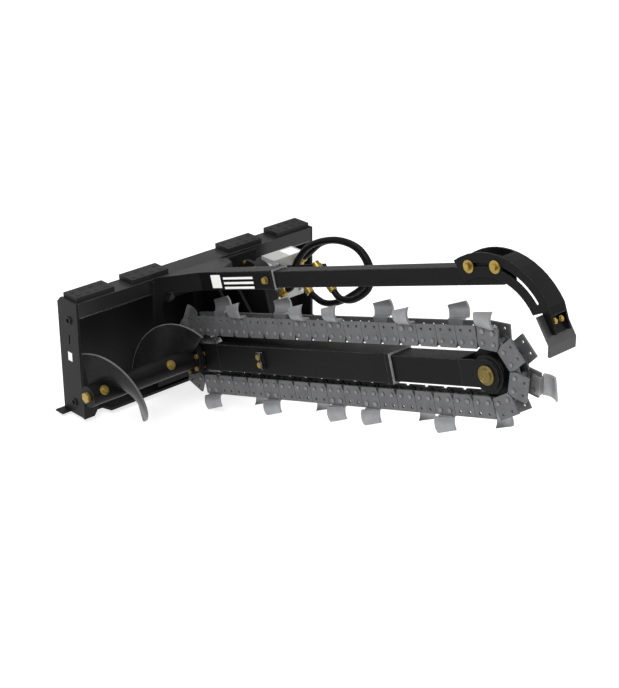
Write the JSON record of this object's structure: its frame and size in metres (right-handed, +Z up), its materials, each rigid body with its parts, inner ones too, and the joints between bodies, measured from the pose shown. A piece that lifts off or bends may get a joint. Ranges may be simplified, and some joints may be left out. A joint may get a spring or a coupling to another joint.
{
  "type": "trencher attachment",
  "caption": "Loader-mounted trencher: toothed digging chain on a boom, side auger, crumber arm and quick-attach frame, driven by a hydraulic motor.",
  "frame": {"origin": "middle of the back plate's rear face, which rests on the carrier", "axes": "+X along the frame toward the motor's end, boom toward -Y, +Z up"},
  "size_m": [1.257, 1.9162, 0.9757],
  "materials": {
    "frame_paint": "satin",
    "boom_paint": "satin",
    "tread_paint": "matte",
    "chain_steel": "satin",
    "tooth_steel": "satin",
    "bright_steel": "brushed",
    "zinc_gold": "satin",
    "motor_paint": "satin",
    "hose_rubber": "gloss",
    "label": "matte"
  },
  "bodies": {
    "frame": {"back_plate": "frame_paint", "top_rail": "frame_paint", "end_plates": "frame_paint", "bottom_flange": "frame_paint", "foot_gussets": "frame_paint", "carrier_lip": "frame_paint", "step_plates": "tread_paint", "blank_label": "label"},
    "carriage": {"carriage_plate": "frame_paint", "clamp_blocks": "frame_paint", "clamp_bolts": "zinc_gold", "support_gussets": "frame_paint", "shaft_housing": "frame_paint", "boom_head_cheeks": "boom_paint", "boom_outer_tube": "boom_paint", "adjuster_tab": "bright_steel", "boom_bolts": "zinc_gold", "head_bearings": "bright_steel", "drive_case": "frame_paint", "case_cover": "frame_paint", "case_bolts": "zinc_gold", "drive_chain": "bright_steel", "hydraulic_motor": "motor_paint", "hose_fittings": "zinc_gold", "coupler_holder": "frame_paint", "couplers": "zinc_gold", "pressure_hose": "hose_rubber", "return_hose": "hose_rubber", "crumber_bracket": "boom_paint", "crumber_outer_tube": "boom_paint", "crumber_lock_bolt": "zinc_gold", "tension_screw": "bright_steel", "chain_outer_plates": "chain_steel", "chain_straps": "chain_steel", "chain_pins": "chain_steel", "chain_rollers": "chain_steel", "near_teeth": "tooth_steel", "far_teeth": "tooth_steel", "tooth_bolts": "tooth_steel"},
    "head_drive": {"head_shaft": "bright_steel", "drive_sprocket": "bright_steel", "driven_sprocket": "bright_steel", "hub_flange": "boom_paint", "auger_sleeve": "boom_paint", "auger_flights": "boom_paint", "auger_bolts": "zinc_gold"},
    "motor_drive": {"motor_shaft": "bright_steel", "motor_sprocket": "bright_steel"},
    "boom_extension": {"boom_inner_tube": "boom_paint", "nose_cheeks": "boom_paint", "tail_axle": "bright_steel", "tail_cap": "zinc_gold"},
    "tail_wheel": {"tail_roller": "boom_paint", "tail_bearings": "bright_steel"},
    "crumber_extension": {"crumber_inner_tube": "boom_paint", "beam_bolts": "zinc_gold", "beam_washers": "zinc_gold"},
    "crumber_tip": {"crumber_beam": "boom_paint", "crumber_shoe": "boom_paint", "shoe_bolts": "zinc_gold"}
  },
  "joints": [
    {"name": "side_shift", "type": "slide", "parent": "frame", "child": "carriage", "axis": [1, 0, 0], "range_m": [-0.2, 0.2]},
    {"name": "head_spin", "type": "hinge", "parent": "carriage", "child": "head_drive", "pos_m": [-0.124, -0.262, -0.04], "axis": [1, 0, 0], "continuous": true, "deforming": ["chain_outer_plates", "chain_straps", "chain_pins", "chain_rollers", "near_teeth", "far_teeth", "tooth_bolts"]},
    {"name": "motor_spin", "type": "hinge", "parent": "carriage", "child": "motor_drive", "pos_m": [0.173, -0.202, 0.152], "axis": [1, 0, 0], "continuous": true},
    {"name": "chain_tension", "type": "slide", "parent": "carriage", "child": "boom_extension", "axis": [0, -0.9598, 0.2807], "range_m": [-0.04, 0], "deforming": ["chain_outer_plates", "chain_straps", "chain_pins", "chain_rollers", "near_teeth", "far_teeth", "tooth_bolts"]},
    {"name": "tail_spin", "type": "hinge", "parent": "boom_extension", "child": "tail_wheel", "pos_m": [-0.124, -1.6326, 0.36079], "axis": [1, 0, 0], "continuous": true},
    {"name": "crumber_reach", "type": "slide", "parent": "carriage", "child": "crumber_extension", "axis": [0, -0.9548, 0.2974], "range_m": [-0.05, 0.2]},
    {"name": "crumber_height", "type": "hinge", "parent": "crumber_extension", "child": "crumber_tip", "pos_m": [-0.124, -1.64041, 0.48762], "axis": [-1, 0, 0], "range_deg": [0, 30]}
  ],
  "couplings": [
    {"joint": "motor_spin", "follows": "head_spin", "ratio": 1.3636},
    {"joint": "tail_spin", "follows": "head_spin", "ratio": 1}
  ]
}
